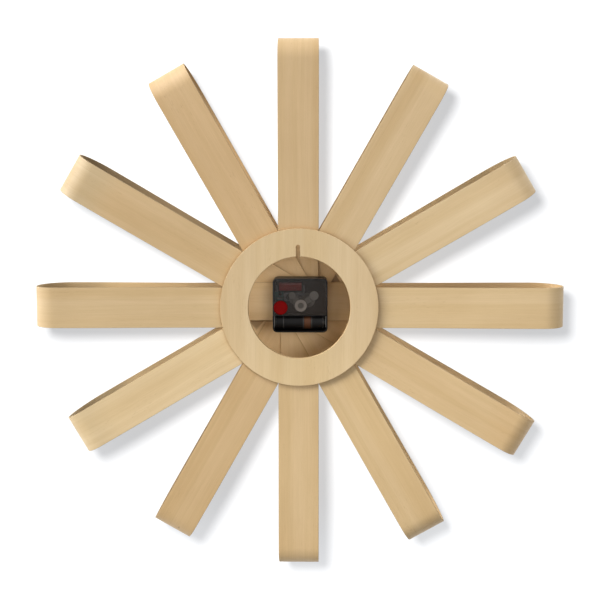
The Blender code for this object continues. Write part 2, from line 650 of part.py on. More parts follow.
neg = combine(
    "contact_negative", box(26.0, 26.4, -31.5, -19.6, -23.0, -11.6),
    [("+", box(26.02, 26.38, -28.4, -26.4, -12.5, 6.0)),
     ("+", box(26.04, 26.36, -26.9, -22.5, 5.0, 5.9))])
material(neg, "contact_nickel", (0.6, 0.58, 0.55), 0.3, 1.0)

# --------------------------------------------- washers and nut on the bushing
LAST_Y = FRONT_Y - 5 * STRIP_PITCH - STRIP_T      # front face of the last strip
rubber = new_object("rubber_washer",
                    prism(circle(0, 0, 10.0, 40), FRONT_Y + GAP, CASE_FRONT_Y - GAP,
                          [circle(0, 0, BUSH_R + 0.3, 24)]))
material(rubber, "rubber", (0.02, 0.02, 0.02), 0.85)
smooth(rubber)

WASHER_Y1 = LAST_Y - GAP
washer = new_object("brass_washer",
                    prism(circle(0, 0, 8.0, 40), WASHER_Y1 - 0.6, WASHER_Y1,
                          [circle(0, 0, BUSH_R + 0.3, 24)]))
material(washer, "brass", (0.72, 0.52, 0.22), 0.3, 1.0)
smooth(washer)

NUT_Y1 = WASHER_Y1 - 0.6 - GAP
nut = new_object("hex_nut",
                 prism(circle(0, 0, 6.4, 6), NUT_Y1 - 2.0, NUT_Y1,
                       [circle(0, 0, BUSH_R + 0.3, 24)]))
material(nut, "brass", (0.72, 0.52, 0.22), 0.3, 1.0)


# -------------------------------------------------------------------- hands
def hand(name, angle, length, tail, w_root, w_tip, hub_r, bore_r, y0, y1):
    """Straight tapering hand with a round hub, pointing along `angle`."""
    dx, dz = math.sin(angle), math.cos(angle)
    px, pz = dz, -dx

    def at(r, s):
        return (r * dx + s * px, r * dz + s * pz)

    blade = [at(-tail, -w_root / 2), at(length, -w_tip / 2),
             at(length, w_tip / 2), at(-tail, w_root / 2)]
    obj = combine(name, disc(0, 0, hub_r, y0, y1, 24),
                  [("+", prism(blade, y0, y1)),
                   ("-", disc(0, 0, bore_r, y0 - 1, y1 + 1, 16))])
    material(obj, "hand_black", (0.015, 0.015, 0.016), 0.4, 0.0)
    return obj


hand("hour_hand", HOUR_ANGLE, HOUR_LEN, 20.0, 8.0, 5.0, 6.5, 2.8, -51.8, -51.0)
hand("minute_hand", MINUTE_ANGLE, MINUTE_LEN, 24.0, 7.0, 4.0, 5.5, 1.8, -53.6, -52.8)

hand_nut = new_object("hand_nut", turned(0, 0, [
    (1.8, -53.9), (3.2, -53.9), (3.2, -56.4), (2.6, -57.4), (0, -58.0),
    (0, -57.4), (1.8, -57.4)], 16))
material(hand_nut, "brass", (0.72, 0.52, 0.22), 0.3, 1.0)
smooth(hand_nut)
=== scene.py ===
import math

import bmesh
import bpy
import numpy as np
from mathutils import Matrix, Vector


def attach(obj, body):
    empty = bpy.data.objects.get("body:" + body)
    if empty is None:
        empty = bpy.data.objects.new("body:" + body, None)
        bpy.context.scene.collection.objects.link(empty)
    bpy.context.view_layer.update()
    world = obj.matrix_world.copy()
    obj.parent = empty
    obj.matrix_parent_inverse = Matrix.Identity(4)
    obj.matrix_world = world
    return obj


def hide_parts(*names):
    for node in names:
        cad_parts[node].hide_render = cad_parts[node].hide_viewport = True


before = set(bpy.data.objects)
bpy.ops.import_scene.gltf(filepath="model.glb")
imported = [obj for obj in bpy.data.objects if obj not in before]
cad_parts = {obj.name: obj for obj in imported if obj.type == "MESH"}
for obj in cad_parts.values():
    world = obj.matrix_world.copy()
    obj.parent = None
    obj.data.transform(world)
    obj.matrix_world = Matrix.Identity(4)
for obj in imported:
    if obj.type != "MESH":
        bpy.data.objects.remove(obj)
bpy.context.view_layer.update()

# Wall clock of bent veneer loops, seen from behind.  Metres, +Z up, the wall
# plane is Y = 0 and the hands face -Y.  Lengths below are in millimetres,
# measured from the clock axis, and are turned into metres by MM.
MM = 0.001
SLOT_END_R, SLOT_TURN = 59.65, math.radians(1.15)
RING_X, RING_Z = 0.45, 1.2          # the ring's centre, off the clock axis
AXIS_X = -SLOT_END_R * math.sin(SLOT_TURN) - RING_X
AXIS_Z = -SLOT_END_R * math.cos(SLOT_TURN) - RING_Z
STAR_X, STAR_Z = 1.25, 0.55         # where the strips cross, off the clock axis


def at(x, y, z):
    """Point in metres from millimetres about the clock axis."""
    return ((x + AXIS_X) * MM, y * MM, (z + AXIS_Z) * MM)


# ------------------------------------------------------------ node materials
class Mat:
    """A Principled material with small helpers that add and link nodes."""

    def __init__(self, name, **values):
        self.m = bpy.data.materials.new(name)
        self.m.use_nodes = True
        self.t = self.m.node_tree
        self.t.nodes.clear()
        self.out = self.t.nodes.new("ShaderNodeOutputMaterial")
        self.b = self.t.nodes.new("ShaderNodeBsdfPrincipled")
        self.t.links.new(self.b.outputs[0], self.out.inputs[0])
        for k, v in values.items():
            self.b.inputs[k.replace("_", " ")].default_value = v

    def add(self, kind, **props):
        n = self.t.nodes.new("ShaderNode" + kind)
        for k, v in props.items():
            setattr(n, k, v)
        return n

    def put(self, socket, value):
        if isinstance(value, bpy.types.NodeSocket):
            self.t.links.new(value, socket)
        elif value is not None:
            socket.default_value = value

    def math(self, op, a, b=None, c=None, clamp=False):
        n = self.add("Math", operation=op, use_clamp=clamp)
        for s, v in zip(n.inputs, (a, b, c)):
            self.put(s, v)
        return n.outputs[0]

    def combine(self, x=0.0, y=0.0, z=0.0):
        n = self.add("CombineXYZ")
        for s, v in zip(n.inputs, (x, y, z)):
            self.put(s, v)
        return n.outputs[0]

    def split(self, vec):
        n = self.add("SeparateXYZ")
        self.put(n.inputs[0], vec)
        return n.outputs[0], n.outputs[1], n.outputs[2]

    def scaled(self, vec, scale, shift=(0, 0, 0)):
        n = self.add("Mapping")
        self.put(n.inputs["Vector"], vec)
        n.inputs["Scale"].default_value = scale
        n.inputs["Location"].default_value = shift
        return n.outputs[0]

    def noise(self, vec, scale=1.0, detail=2.0, rough=0.5, distort=0.0):
        n = self.add("TexNoise")
        self.put(n.inputs["Vector"], vec)
        n.inputs["Scale"].default_value = scale
        n.inputs["Detail"].default_value = detail
        n.inputs["Roughness"].default_value = rough
        n.inputs["Distortion"].default_value = distort
        return n.outputs["Fac"]

    def remap(self, v, a, b, c=0.0, d=1.0, smooth=False):
        n = self.add("MapRange", clamp=True,
                     interpolation_type="SMOOTHSTEP" if smooth else "LINEAR")
        for i, x in enumerate((v, a, b, c, d)):
            self.put(n.inputs[i], x)
        return n.outputs[0]

    def mix(self, fac, a, b, blend="MIX"):
        n = self.add("Mix", data_type="RGBA", blend_type=blend, clamp_factor=True)
        self.put(n.inputs[0], fac)
        self.put(n.inputs[6], a if isinstance(a, bpy.types.NodeSocket) else (*a, 1.0))
        self.put(n.inputs[7], b if isinstance(b, bpy.types.NodeSocket) else (*b, 1.0))
        return n.outputs[2]

    def ramp(self, fac, stops):
        n = self.add("ValToRGB")
        el = n.color_ramp.elements
        while len(el) < len(stops):
            el.new(0.5)
        for e, (p, c) in zip(el, stops):
            e.position = p
            e.color = (*c, 1.0)
        self.put(n.inputs[0], fac)
        return n.outputs[0]

    def colour(self, socket):
        self.put(self.b.inputs["Base Color"], socket)

    def roughness(self, socket):
        self.put(self.b.inputs["Roughness"], socket)

    def bump(self, height, distance, strength=1.0, after=None):
        n = self.add("Bump")
        n.inputs["Strength"].default_value = strength
        n.inputs["Distance"].default_value = distance
        self.put(n.inputs["Height"], height)
        if after is not None:
            self.put(n.inputs["Normal"], after)
        self.put(self.b.inputs["Normal"], n.outputs[0])
        return n.outputs[0]

    def occlusion_shade(self, colour, reach, tint):
        """Painted shade: darker, browner wood wherever the ambient occlusion finds other surfaces close by, in joints
        and under nearby parts.
        """
        n = self.add("AmbientOcclusion", samples=6)
        n.inputs["Distance"].default_value = reach
        near = self.remap(n.outputs["AO"], 0.25, 0.95, 1.0, 0.0)
        return self.mix(near, colour, self.mix(1.0, colour, tint, "MULTIPLY"))

    def object_coords(self):
        return self.add("TexCoord").outputs["Object"]

    def uv(self):
        return self.add("TexCoord").outputs["UV"]


# ---------------------------------------------------------------------- wood
PALE = (0.655, 0.476, 0.262)
MID = (0.628, 0.449, 0.238)
WARM = (0.600, 0.418, 0.210)


STRIP_W, STRIP_T, PITCH = 40.0, 1.2, 1.45


def painted_gap_shadow(m, c):
    """Painted shadow: dark wedges on the inner faces beside the level strip,
    where its edges would shade the crossing strips lying deeper behind it."""
    px, py, pz = m.split(m.object_coords())
    on = m.math("MULTIPLY", m.add("Attribute", attribute_name="inner").outputs["Fac"],
                m.remap(py, -0.0300, -0.0340))
    x = m.math("SUBTRACT", px, AXIS_X * MM)
    for side, x0, half, low, tall, lo, hi in ((-1, 0.0476, 0.0080, 0.0031, 0.0110, 0.85, 0.52),
                                              (1, -0.0372, 0.0050, 0.0001, 0.0105, 0.62, 0.62)):
        edge = (AXIS_Z + STAR_Z + side * STRIP_W / 2) * MM
        dz = m.math("MULTIPLY", m.math("SUBTRACT", pz, edge), float(side))
        peak = m.remap(m.math("ABSOLUTE", m.math("SUBTRACT", x, x0)), 0.0, half, 1.0, 0.0)
        deep = m.math("MULTIPLY_ADD", peak, tall, low)
        fall = m.remap(m.math("DIVIDE", dz, deep), 0.6, 1.0, 1.0, 0.0, True)
        fall = m.math("MULTIPLY", fall, m.remap(dz, -0.0002, 0.0001))
        if side < 0:
            fall = m.math("MULTIPLY", fall, m.remap(x, 0.012, 0.024))
        power = m.remap(dz, 0.0020, 0.0034, lo, hi)
        c = m.mix(m.math("MULTIPLY", m.math("MULTIPLY", fall, power), on), c, (0.125, 0.055, 0.014))
    return c


def wood_face(name, pale=PALE, mid=MID, warm=WARM, along=0, tone=1.0, uv=True,
              bands=1.0):
    """Straight-grained pale veneer.  Coordinates are metres, with the grain
    along the first one."""
    m = Mat(name, Roughness=0.5)
    src = m.uv() if uv else m.object_coords()
    x, y, z = m.split(src)
    if uv:
        u, v, w = x, y, 0.0
    else:
        u, v, w = z, x, y
    # slow waver of the grain across the sheet
    waver = m.noise(m.combine(m.math("MULTIPLY", u, 5.0), m.math("MULTIPLY", v, 9.0), w), 1.0, 2.0)
    v2 = m.math("MULTIPLY_ADD", m.math("SUBTRACT", waver, 0.5), 0.006, v)
    broad = m.noise(m.combine(m.math("MULTIPLY", u, 0.9), m.math("MULTIPLY", v2, 62.0 * bands), 1.3), 1.0, 2.0, 0.45)
    streak = m.noise(m.combine(m.math("MULTIPLY", u, 3.2), m.math("MULTIPLY", v2, 240.0 * bands), 4.1), 1.0, 3.0, 0.55)
    fine = m.noise(m.combine(m.math("MULTIPLY", u, 17.0), m.math("MULTIPLY", v2, 1500.0), 2.7), 1.0, 3.0, 0.6)
    fibre = m.noise(m.combine(m.math("MULTIPLY", u, 70.0), m.math("MULTIPLY", v2, 5200.0), 7.7), 1.0, 2.0, 0.6)
    cloud = m.noise(m.combine(m.math("MULTIPLY", u, 11.0), m.math("MULTIPLY", v, 30.0), 9.0), 1.0, 3.0, 0.55)
    base = m.ramp(broad, ((0.30, warm), (0.47, mid), (0.62, pale), (0.80, pale)))
    tint = m.mix(m.remap(streak, 0.36, 0.66), (0.975, 0.966, 0.95), (1.015, 1.016, 1.02))
    c = m.mix(1.0, base, tint, "MULTIPLY")
    c = m.mix(1.0, c, m.mix(m.remap(cloud, 0.30, 0.70), (0.957, 0.942, 0.918), (1.030, 1.034, 1.042)), "MULTIPLY")
    c = m.mix(1.0, c, m.mix(m.remap(fine, 0.32, 0.68), (0.965, 0.955, 0.94), (1.02, 1.022, 1.026)), "MULTIPLY")
    c = m.mix(1.0, c, m.mix(m.remap(fibre, 0.35, 0.62), (0.965, 0.957, 0.945), (1.01, 1.01, 1.01)), "MULTIPLY")
    # short dark ray flecks and the odd tiny pin knot
    fl = m.noise(m.combine(m.math("MULTIPLY", u, 190.0), m.math("MULTIPLY", v2, 1900.0), 0.4), 1.0, 1.0, 0.5)
    where = m.noise(m.combine(m.math("MULTIPLY", u, 14.0), m.math("MULTIPLY", v, 60.0), 5.5), 1.0, 1.0)
    fleck = m.math("MULTIPLY", m.remap(fl, 0.66, 0.76), m.remap(where, 0.48, 0.66))
    c = m.mix(m.math("MULTIPLY", fleck, 0.34), c, (0.30, 0.155, 0.055))
    vor = m.add("TexVoronoi", feature="F1")
    m.put(vor.inputs["Vector"], m.combine(m.math("MULTIPLY", u, 11.0), m.math("MULTIPLY", v, 24.0), 0.0))
    vor.inputs["Scale"].default_value = 1.0
    knot = m.remap(vor.outputs["Distance"], 0.012, 0.034, 1.0, 0.0, True)
    c = m.mix(m.math("MULTIPLY", knot, 0.45), c, (0.22, 0.115, 0.045))
    if not uv:
        # lighter and cooler where the ring crosses the vertical line through the axis, warmer at the sides
        off = m.math("ABSOLUTE", m.math("SUBTRACT", x, AXIS_X * MM))
        c = m.mix(1.0, c, m.mix(m.remap(off, 0.012, 0.062, smooth=True), (1.045, 1.075, 1.11), (0.995, 0.975, 0.94)), "MULTIPLY")
        # painted light: the ring is made lighter towards the bottom
        c = m.mix(1.0, c, m.mix(m.remap(z, (AXIS_Z - 70) * MM, AXIS_Z * MM, smooth=True), (1.085, 1.085, 1.07), (1.0, 1.0, 1.0)), "MULTIPLY")
    # the tone and cool attributes carry each strip's own tone and also the painted light and shade of its inner faces
    # and tips
    if uv:
        own = m.add("Attribute", attribute_name="tone").outputs["Fac"]
        cool = m.add("Attribute", attribute_name="cool").outputs["Fac"]
        own_g = m.math("MULTIPLY", own, m.math("MULTIPLY_ADD", cool, 0.45, 1.0))
        own_b = m.math("MULTIPLY", own, m.math("ADD", cool, 1.0))
        c = m.mix(1.0, c, m.combine(own, own_g, own_b), "MULTIPLY")
    # painted shade from ambient occlusion in the joints and under nearby parts
    c = m.occlusion_shade(c, 0.008, (0.58, 0.48, 0.38))
    if uv:
        # painted shadow in two wedges beside the level strip inside the ring
        c = painted_gap_shadow(m, c)
    m.colour(c)
    m.roughness(m.remap(m.math("ADD", m.math("MULTIPLY", fine, 0.6), m.math("MULTIPLY", cloud, 0.4)), 0.3, 0.7, 0.62, 0.50))
    h = m.math("ADD", m.math("MULTIPLY", fine, 0.7), m.math("MULTIPLY", fibre, 0.45))
    h = m.math("SUBTRACT", h, m.math("MULTIPLY", fleck, 0.5))
    m.bump(h, 0.00006, 0.55)
    return m.m


def ply_edge(name, count, thick, uv=True, tone=1.0):
    """Cut edge of a laminated sheet: plies of long and end grain, with thin
    glue lines.  The second coordinate runs through the thickness."""
    m = Mat(name, Roughness=0.62)
    if uv:
        u, v, _ = m.split(m.uv())
    else:
        x, y, z = m.split(m.object_coords())
        u = m.math("MULTIPLY", m.math("ARCTAN2", m.math("SUBTRACT", z, AXIS_Z * MM),
                                      m.math("SUBTRACT", x, AXIS_X * MM)), 0.075)
        v = m.math("MULTIPLY", y, -1.0)
    p = m.math("DIVIDE", v, thick / count)
    frac = m.math("FRACT", m.math("ADD", p, 0.0))
    odd = m.math("FRACT", m.math("MULTIPLY", m.math("FLOOR", p), 0.5))
    glue = m.math("MULTIPLY", m.remap(frac, 0.0, 0.09, 1.0, 0.0, True), m.remap(p, 0.4, 0.9))
    grain = m.noise(m.combine(m.math("MULTIPLY", u, 60.0), m.math("MULTIPLY", v, 9000.0), 0.0), 1.0, 3.0, 0.6)
    ends = m.noise(m.combine(m.math("MULTIPLY", u, 1900.0), m.math("MULTIPLY", v, 3500.0), 3.0), 1.0, 2.0, 0.6)
    long_c = m.mix(m.remap(grain, 0.3, 0.7), (0.50, 0.335, 0.155), (0.68, 0.50, 0.27))
    end_c = m.mix(m.remap(ends, 0.3, 0.7), (0.36, 0.225, 0.10), (0.52, 0.355, 0.175))
    c = m.mix(m.remap(odd, 0.2, 0.3), long_c, end_c)
    c = m.mix(m.math("MULTIPLY", glue, 0.5), c, (0.26, 0.15, 0.06))
    if tone != 1.0:
        c = m.mix(1.0, c, (tone, tone * 1.02, tone * 1.0), "MULTIPLY")
    m.colour(c)
    m.roughness(m.remap(grain, 0.3, 0.7, 0.7, 0.55))
    m.bump(m.math("SUBTRACT", m.math("ADD", grain, m.math("MULTIPLY", ends, 0.6)), glue), 0.00007, 0.6)
    return m.m


VENEER = wood_face("veneer")
# the strips' cut edges are darkened: partly the plies' own darker colour, partly painted shade
VENEER_EDGE = ply_edge("veneer_edge", 3, 0.0012, tone=0.68)
RING_FACE = wood_face("ply_ring", pale=(0.668, 0.512, 0.308), mid=(0.640, 0.478, 0.272),
                      warm=(0.612, 0.440, 0.232), uv=False, bands=0.55)
RING_EDGE = ply_edge("ply_ring_edge", 3, 0.003, uv=False)


# ------------------------------------------------------------- ribbon meshes
NEAR_Y, FRONT_Y = -3.3, -35.3
RING_R, RING_T = 77.6, 3.0
HALF_SPACING = math.radians(14.77)  # half the smallest angle between neighbours
BEND_LEN, BULGE_NEAR, BULGE_FAR, END_R = 25.0, 2.9, 3.4, 64.5


def half_path(order, tip_r):
    """Centre line from the end under the ring, round the tip and back along
    the front to the clock axis, as dense (radius, y) points."""
    near0 = NEAR_Y - STRIP_T / 2
    far0 = FRONT_Y - STRIP_T / 2 - order * PITCH
    near1, far1 = near0 + BULGE_NEAR, far0 - BULGE_FAR
    mid, half = (near1 + far1) / 2, (near1 - far1) / 2
    bend = tip_r - STRIP_T / 2 - BEND_LEN
    free = RING_R + 2.0

    def swell(r):
        u = min(max((r - free) / (bend - free), 0.0), 1.0)
        return math.sin(math.pi / 2 * u) ** 2

    wide_r = (STRIP_W / 2 + 0.2) / math.tan(HALF_SPACING)
    flat = [free + (bend - free) * i / 28 for i in range(29)]
    pts = [(END_R, near0), (68.0, near0), (72.0, near0), (wide_r, near0)]
    pts += [(r, near0 + BULGE_NEAR * swell(r)) for r in flat]
    n = 40
    for i in range(1, n):
        a = math.pi / 2 - math.pi * i / n
        pts.append((bend + BEND_LEN * math.cos(a), mid + half * math.sin(a)))
    pts += [(r, far0 - BULGE_FAR * swell(r)) for r in reversed(flat)]
    pts += [(60.0, far0), (40.0, far0), (24.0, far0), (12.0, far0)]
    return pts


def section(width):
    """Rounded rectangle across the strip: (side offset, depth offset, v in
    metres, is it a cut edge).  Width is half the strip's width."""
    e, t = 0.16, STRIP_T / 2
    out = []
    # columns across a face, with one close to each edge to keep it flat there
    flat = width - e
    cols = [-flat, -flat + 0.3] + [flat * k / 3 for k in (-2, -1, 0, 1, 2)] + [flat - 0.3, flat]
    for s in cols:                                  # outer face
        out.append((s, t, (s + 30.0) * MM, 0))
    out.append((width - 0.05, t - 0.05, STRIP_T * MM, 1))
    out.append((width, t - e, (STRIP_T - e) * MM, 1))
    out.append((width, -t + e, e * MM, 1))
    out.append((width - 0.05, -t + 0.05, 0.0, 1))
    for s in reversed(cols):                        # inner face
        out.append((s, -t, (s + 130.0) * MM, 2))
    out.append((-width + 0.05, -t + 0.05, 0.0, 3))
    out.append((-width, -t + e, e * MM, 3))
    out.append((-width, t - e, (STRIP_T - e) * MM, 3))
    out.append((-width + 0.05, t - 0.05, STRIP_T * MM, 3))
    return out


# painted light and shade on the veneer's inner face in each loop: lighter near the middle, darker halfway out and at
# the tip
CENTRE_LIGHT = {12: 1.06, 7: 1.11, 8: 1.11, 9: 1.06, 3: 1.03}
INNER_SHADE = {1: (0.95, 0.85), 2: (1.0, 0.77), 3: (0.775, 0.77), 4: (0.85, 0.66),
         5: (0.80, 0.85), 6: (0.85, 0.75), 7: (0.95, 0.85), 8: (0.97, 0.62),
         9: (0.97, 0.71), 10: (0.52, 0.45), 11: (0.95, 0.80), 12: (0.85, 0.75)}
# loops at the two ends of each strip, as counted on the wall side
ENDS = {"ribbon_9_3": (9, 3), "ribbon_8_2": (10, 4), "ribbon_7_1": (11, 5),
        "ribbon_6_12": (12, 6), "ribbon_5_11": (7, 1), "ribbon_4_10": (8, 2)}


# painted shade on the outer face of a loop's tip: tone, and how much less yellow it is
TIP_SHADE = {10: (0.92, 0.13), 8: (0.92, 0.02), 2: (0.965, -0.04), 4: (1.0, -0.06),
        12: (0.98, 0.0), 9: (0.975, 0.0), 6: (1.0, -0.03)}
# how much less yellow the painted shade on the inner faces is, near the middle and along the loop
INNER_SHADE_COOL = {2: (-0.08, 0.0), 3: (-0.12, -0.16), 4: (-0.08, 0.0), 9: (-0.03, 0.03)}


def soft_step(r, a, b):
    u = min(max((r - a) / (b - a), 0.0), 1.0)
    return u * u * (3 - 2 * u)


def inner_light_and_shade(r, loop):
    """Painted light and shade on the inner face at a distance r from the middle."""
    def soft(a, b):
        u = min(max((r - a) / (b - a), 0.0), 1.0)
        return u * u * (3 - 2 * u)
    half, tip = INNER_SHADE[loop]
    mid = CENTRE_LIGHT.get(loop, 1.05)
    t = mid + (half - mid) * soft(60.0, 96.0)
    return t + (tip - half) * soft(190.0, 228.0)


def ribbon(name, node, angle, order, tip_r, shift, tones, cools):
    """One full strip, with two opposite loops.  The tones are those of its
    wood at the two ends."""
    a = math.radians(angle)
    dx, dz = math.sin(a), math.cos(a)
    px, pz = dz, -dx
    half = half_path(order, tip_r)
    path = half + [(-r, y) for r, y in reversed(half)]
    bm = bmesh.new()
    uv = bm.loops.layers.uv.new("UVMap")
    tone = bm.verts.layers.float.new("tone")
    cool = bm.verts.layers.float.new("cool")
    inner = bm.verts.layers.float.new("inner")
    rows, length = [], [0.0]
    for p, q in zip(path, path[1:]):
        length.append(length[-1] + math.hypot(q[0] - p[0], q[1] - p[1]))
    for i, (r, y) in enumerate(path):
        p, q = path[max(i - 1, 0)], path[min(i + 1, len(path) - 1)]
        t = Vector((q[0] - p[0], q[1] - p[1])).normalized()
        n = Vector((-t.y, t.x))
        w = STRIP_W / 2
        if abs(r) < RING_R and y > FRONT_Y + 5:
            w = min(w, abs(r) * math.tan(HALF_SPACING) - 0.2)
        sec = section(w)
        row = []
        for s, off, v, kind in sec:
            rr, yy = r + n.x * off, y + n.y * off
            vert = bm.verts.new(at(rr * dx + s * px + STAR_X, yy, rr * dz + s * pz + STAR_Z))
            g = length[i] / length[-1]
            g = g * g * (3 - 2 * g)
            vert[tone] = tones[0] * (1 - g) + tones[1] * g
            vert[cool] = cools[0] * (1 - g) + cools[1] * g
            which = ENDS[node][0 if i < len(half) else 1]
            # inner faces get the painted light and shade of their loop; the outer face of a tip gets its painted shade
            if kind == 2:
                vert[inner] = 1.0
                vert[tone] *= inner_light_and_shade(abs(r), which)
                near, out = INNER_SHADE_COOL.get(which, (0.0, 0.0))
                vert[cool] += near + (out - near) * soft_step(abs(r), 60.0, 96.0)
            elif which in TIP_SHADE:
                f = soft_step(abs(r), 205.0, 240.0)
                vert[tone] *= 1 + (TIP_SHADE[which][0] - 1) * f
                vert[cool] += TIP_SHADE[which][1] * f
            row.append(vert)
        rows.append((row, sec))
    count = len(rows[0][0])
    for i in range(len(rows) - 1):
        (r0, s0), (r1, s1) = rows[i], rows[i + 1]
        for j in range(count):
            k = (j + 1) % count
            f = bm.faces.new((r0[j], r0[k], r1[k], r1[j]))
            cut = s0[j][3] in (1, 3) or s0[k][3] in (1, 3)
            f.material_index = 1 if cut else 0
            for loop, (ii, jj, sec) in zip(f.loops, ((i, j, s0), (i, k, s0), (i + 1, k, s1), (i + 1, j, s1))):
                kind = sec[jj][3]
                if cut:
                    v = {0: STRIP_T * MM, 2: 0.0}.get(kind, sec[jj][2])
                    v += 0.0
                else:
                    v = sec[jj][2] + shift * 0.37
                loop[uv].uv = (length[ii] * MM + shift, v)
            f.smooth = True
    for i, flip in ((0, False), (len(rows) - 1, True)):
        row, sec = rows[i]
        f = bm.faces.new(row if flip else list(reversed(row)))
        f.material_index = 1
        for loop in f.loops:
            j = row.index(loop.vert)
            loop[uv].uv = (sec[j][0] * MM, (sec[j][1] + STRIP_T / 2) * MM)
    bmesh.ops.recalc_face_normals(bm, faces=bm.faces)
    mesh = bpy.data.meshes.new(name)
    bm.to_mesh(mesh)
    bm.free()
    obj = bpy.data.objects.new(name, mesh)
    bpy.context.scene.collection.objects.link(obj)
    mesh.materials.append(VENEER)
    mesh.materials.append(VENEER_EDGE)
    mesh.set_sharp_from_angle(angle=math.radians(50))
    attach(obj, "clock_body")
    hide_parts(node)
    return obj


# node, direction in degrees, place in the stack, tip radius, wood tones and
# how much less yellow the wood is, at the two ends
STRIPS = (
    ("ribbon_9_3", 90.0, 0, 266.7, (1.02, 1.07), (0.05, 0.08)),
    ("ribbon_8_2", 59.56, 1, 267.0, (0.98, 1.04), (-0.02, 0.0)),
    ("ribbon_7_1", 29.54, 2, 267.8, (0.94, 1.085), (-0.12, 0.06)),
    ("ribbon_6_12", 0.0, 3, 267.5, (0.935, 1.055), (-0.04, 0.02)),
    ("ribbon_5_11", 150.33, 4, 266.2, (0.975, 0.967), (-0.07, 0.02)),
    ("ribbon_4_10", 120.40, 5, 264.0, (1.19, 1.055), (0.13, 0.10)))
ribbons = []
for i, (node, angle, order, tip_r, tones, cools) in enumerate(STRIPS):
    ribbons.append(ribbon("bent_" + node, node, angle, order, tip_r, 3.7 * i + 0.9, tones, cools))


def cutter(name, x, z, r, y0, y1, n=48):
    bm = bmesh.new()
    bmesh.ops.create_cone(bm, cap_ends=True, segments=n, radius1=r * MM, radius2=r * MM,
                          depth=abs(y1 - y0) * MM)
    bmesh.ops.rotate(bm, verts=bm.verts, cent=(0, 0, 0), matrix=Matrix.Rotation(math.pi / 2, 3, "X"))
    bmesh.ops.translate(bm, verts=bm.verts, vec=at(x, (y0 + y1) / 2, z))
    mesh = bpy.data.meshes.new(name)
    bm.to_mesh(mesh)
    bm.free()
    obj = bpy.data.objects.new(name, mesh)
    bpy.context.scene.collection.objects.link(obj)
    return obj


def cut(obj, tool, operation="DIFFERENCE"):
    mod = obj.modifiers.new("cut", "BOOLEAN")
    mod.operation = operation
    mod.solver = "EXACT"
    mod.object = tool
    bpy.context.view_layer.update()
    dg = bpy.context.evaluated_depsgraph_get()
    mesh = bpy.data.meshes.new_from_object(obj.evaluated_get(dg), depsgraph=dg)
    obj.modifiers.clear()
    old = obj.data
    name = old.name
    obj.data = mesh
    bpy.data.meshes.remove(old)
    mesh.name = name


for obj, (node, angle, order, tip_r, tones, cools) in zip(ribbons, STRIPS):
    y = FRONT_Y - STRIP_T / 2 - order * PITCH
    tool = cutter("hole_tool", 0, 0, 4.4, y - 3, y + 3)
    cut(obj, tool)
    bpy.data.objects.remove(tool, do_unlink=True)


# ---------------------------------------------------------------- back ring
def ring_piece():
    """Plywood ring with softly rounded rims and the hanging slot."""
    bm = bmesh.new()
    c, n, near = 0.2, 192, 0.3
    k = c * (1 - math.sqrt(0.5))
    hole = 50.2
    prof = [(RING_R - c - near, 0), (RING_R - c, 0), (RING_R - k, -k), (RING_R, -c),
            (RING_R, -RING_T + c), (RING_R - k, -RING_T + k), (RING_R - c, -RING_T),
            (RING_R - c - near, -RING_T), (hole + c + near, -RING_T),
            (hole + c, -RING_T), (hole + k, -RING_T + k), (hole, -RING_T + c), (hole, -c),
            (hole + k, -k), (hole + c, 0), (hole + c + near, 0)]
    rows = []
    for i in range(n):
        a = 2 * math.pi * i / n
        rows.append([bm.verts.new(at(RING_X + r * math.cos(a), y, RING_Z + r * math.sin(a)))
                     for r, y in prof])
    for i in range(n):
        r0, r1 = rows[i], rows[(i + 1) % n]
        for j in range(len(prof)):
            jj = (j + 1) % len(prof)
            f = bm.faces.new((r0[j], r0[jj], r1[jj], r1[j]))
            f.smooth = True
            f.material_index = 1 if j in (1, 2, 3, 4, 5, 9, 10, 11, 12, 13) else 0
    bmesh.ops.recalc_face_normals(bm, faces=bm.faces)
    mesh = bpy.data.meshes.new("plywood_ring")
    bm.to_mesh(mesh)
    bm.free()
    obj = bpy.data.objects.new("plywood_ring", mesh)
    bpy.context.scene.collection.objects.link(obj)
    mesh.materials.append(RING_FACE)
    mesh.materials.append(RING_EDGE)
    # slot, open into the ring's hole
    ux, uz = math.sin(SLOT_TURN), math.cos(SLOT_TURN)
    px, pz = uz, -ux
    out = []
    for i in range(25):
        a = math.pi * i / 24
        r, s = SLOT_END_R + 2.1 * math.sin(a), 2.1 * math.cos(a)
        out.append((r * ux + s * px, r * uz + s * pz))
    for s in (-2.1, 2.1):
        out.append((46.0 * ux + s * px, 46.0 * uz + s * pz))
    bm = bmesh.new()
    f = bm.faces.new([bm.verts.new(at(RING_X + x, -5.0, RING_Z + z)) for x, z in out])
    g = bmesh.ops.extrude_face_region(bm, geom=[f])
    bmesh.ops.translate(bm, vec=(0, 7 * MM, 0), verts=[v for v in g["geom"] if isinstance(v, bmesh.types.BMVert)])
    bmesh.ops.recalc_face_normals(bm, faces=bm.faces)
    tm = bpy.data.meshes.new("slot_tool")
    tm.materials.append(RING_EDGE)
    bm.to_mesh(tm)
    bm.free()
    tool = bpy.data.objects.new("slot_tool", tm)
    bpy.context.scene.collection.objects.link(tool)
    cut(obj, tool)
    bpy.data.objects.remove(tool, do_unlink=True)
    # the slot's walls show the plies
    for p in obj.data.polygons:
        if abs(p.normal.y) < 0.2:
            p.material_index = 1
    obj.data.set_sharp_from_angle(angle=math.radians(50))
    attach(obj, "clock_body")
    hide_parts("back_ring")
    return obj


ring_piece()


